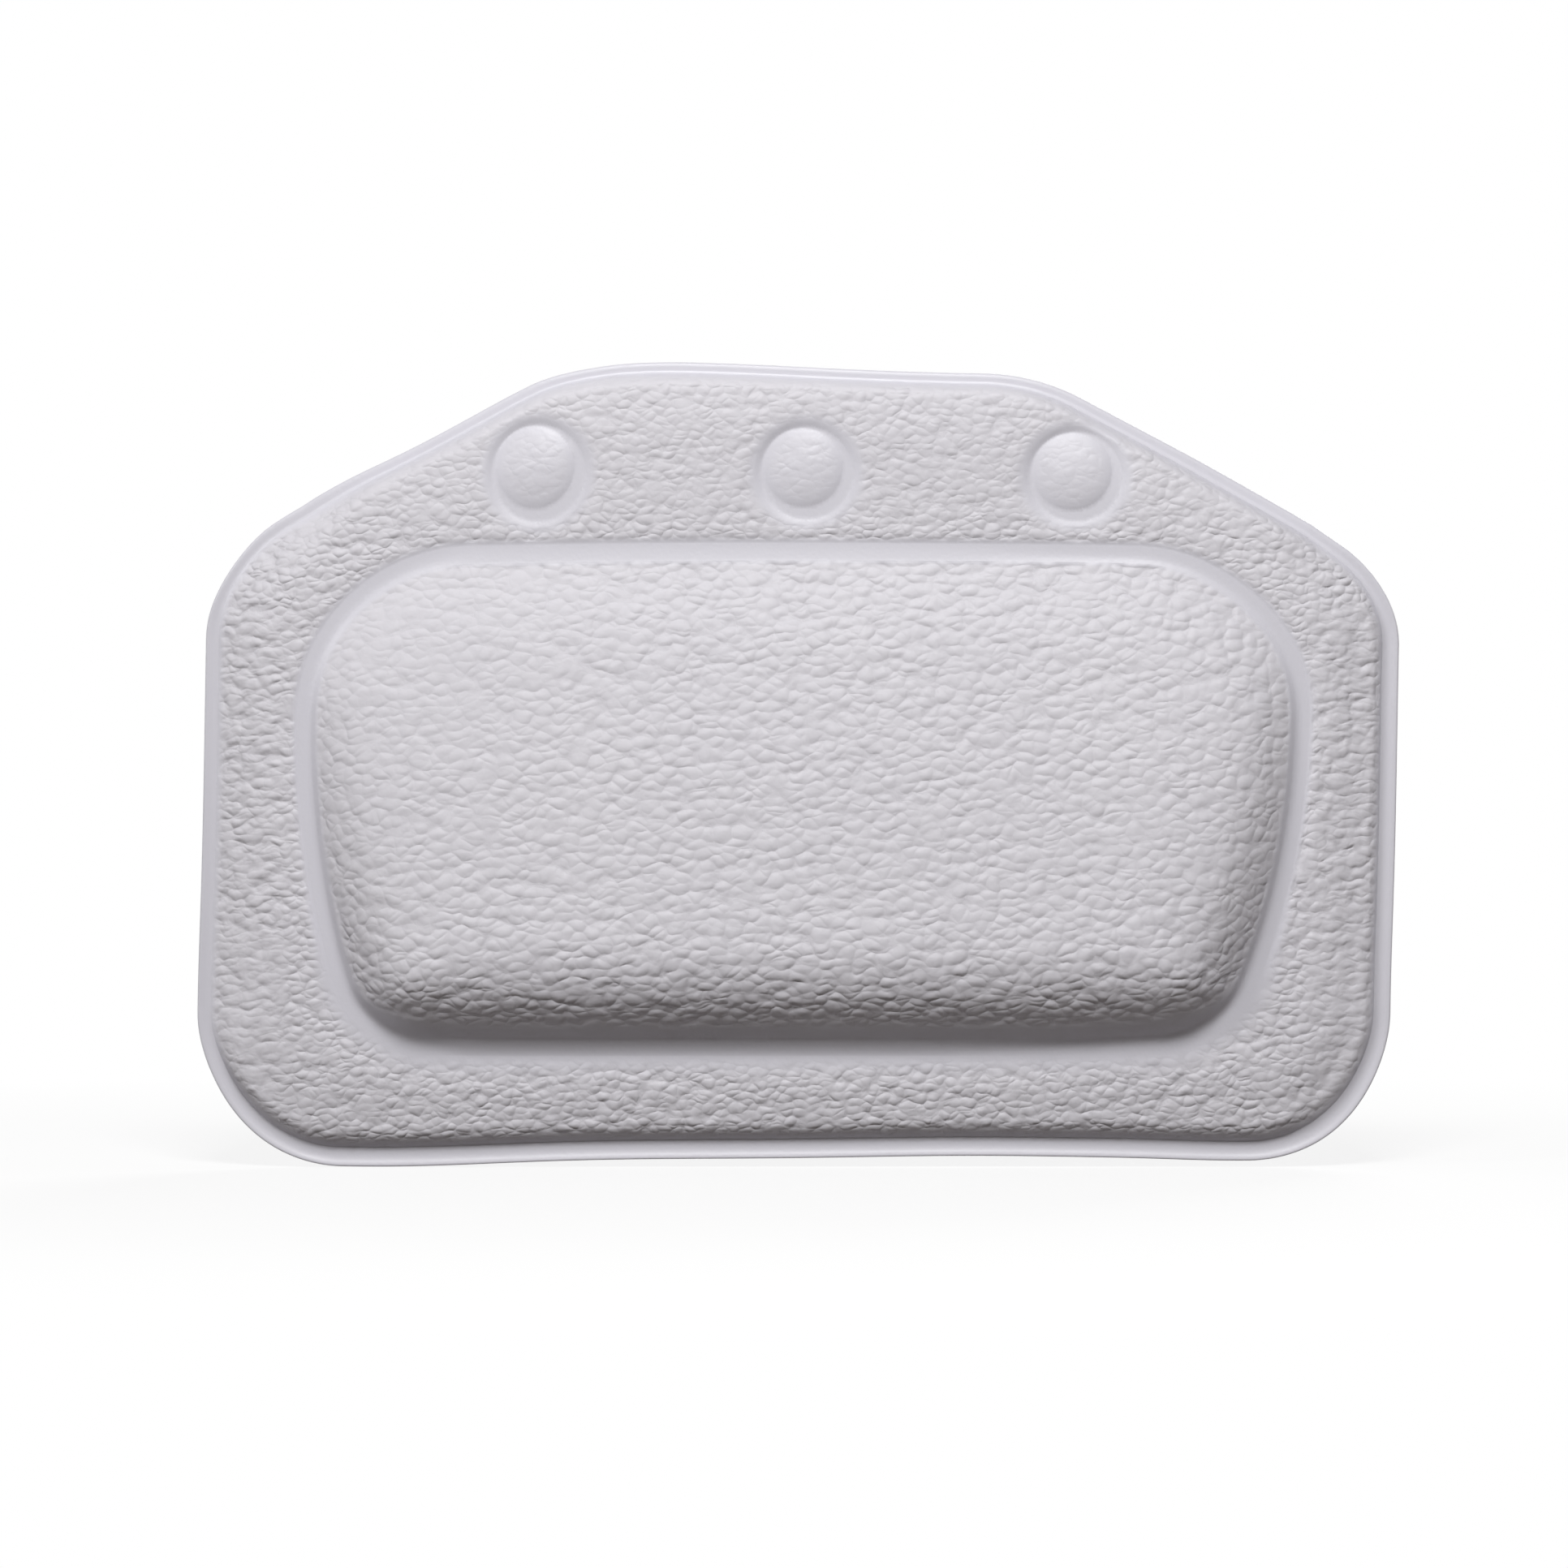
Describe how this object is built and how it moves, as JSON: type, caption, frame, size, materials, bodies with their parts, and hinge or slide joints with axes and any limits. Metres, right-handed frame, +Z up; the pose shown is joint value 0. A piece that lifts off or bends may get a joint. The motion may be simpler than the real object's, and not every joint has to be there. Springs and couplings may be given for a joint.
{
  "type": "bath pillow",
  "caption": "Padded bath head pillow of welded embossed vinyl over foam, with a flap that folds back over the tub's rim and suction cups on its back.",
  "frame": {"origin": "on the tub-wall plane that the cup lips seat on, on the axis of the flap's middle cup", "axes": "+Z up along the wall, +Y into the wall, +X to the right of someone facing the cushion"},
  "size_m": [0.33, 0.038, 0.22],
  "materials": {
    "face_vinyl": "satin",
    "back_vinyl": "satin",
    "foam": "matte",
    "clear_vinyl": "gloss",
    "eyelet_vinyl": "satin"
  },
  "bodies": {
    "cushion": {"cushion_face_sheet": "face_vinyl", "cushion_back_sheet": "back_vinyl", "cushion_foam": "foam", "border_foam": "foam", "eyelet_upper_left": "eyelet_vinyl", "eyelet_upper_right": "eyelet_vinyl", "eyelet_lower_left": "eyelet_vinyl", "eyelet_lower_right": "eyelet_vinyl"},
    "flap": {"flap_face_sheet": "face_vinyl", "flap_back_sheet": "back_vinyl", "flap_foam": "foam", "dome_foam_left": "foam", "dome_foam_middle": "foam", "dome_foam_right": "foam", "eyelet_flap_left": "eyelet_vinyl", "eyelet_flap_middle": "eyelet_vinyl", "eyelet_flap_right": "eyelet_vinyl"},
    "cup_flap_left": {"cup_flap_left": "clear_vinyl"},
    "cup_flap_middle": {"cup_flap_middle": "clear_vinyl"},
    "cup_flap_right": {"cup_flap_right": "clear_vinyl"},
    "cup_upper_left": {"cup_upper_left": "clear_vinyl"},
    "cup_upper_right": {"cup_upper_right": "clear_vinyl"},
    "cup_lower_left": {"cup_lower_left": "clear_vinyl"},
    "cup_lower_right": {"cup_lower_right": "clear_vinyl"}
  },
  "joints": [
    {"name": "flap_fold", "type": "hinge", "parent": "cushion", "child": "flap", "pos_m": [0, -0.0138, -0.0225], "axis": [-1, 0, 0], "range_deg": [0, 90], "stiffness_Nm_per_rad": 0.12},
    {"name": "cup_flap_left_spin", "type": "hinge", "parent": "flap", "child": "cup_flap_left", "pos_m": [-0.0745, 0, 0], "axis": [0, 1, 0], "continuous": true},
    {"name": "cup_flap_middle_spin", "type": "hinge", "parent": "flap", "child": "cup_flap_middle", "pos_m": [0, 0, 0], "axis": [0, 1, 0], "continuous": true},
    {"name": "cup_flap_right_spin", "type": "hinge", "parent": "flap", "child": "cup_flap_right", "pos_m": [0.0745, 0, 0], "axis": [0, 1, 0], "continuous": true},
    {"name": "cup_upper_left_spin", "type": "hinge", "parent": "cushion", "child": "cup_upper_left", "pos_m": [-0.088, 0, -0.06], "axis": [0, 1, 0], "continuous": true},
    {"name": "cup_upper_right_spin", "type": "hinge", "parent": "cushion", "child": "cup_upper_right", "pos_m": [0.088, 0, -0.06], "axis": [0, 1, 0], "continuous": true},
    {"name": "cup_lower_left_spin", "type": "hinge", "parent": "cushion", "child": "cup_lower_left", "pos_m": [-0.088, 0, -0.128], "axis": [0, 1, 0], "continuous": true},
    {"name": "cup_lower_right_spin", "type": "hinge", "parent": "cushion", "child": "cup_lower_right", "pos_m": [0.088, 0, -0.128], "axis": [0, 1, 0], "continuous": true}
  ]
}
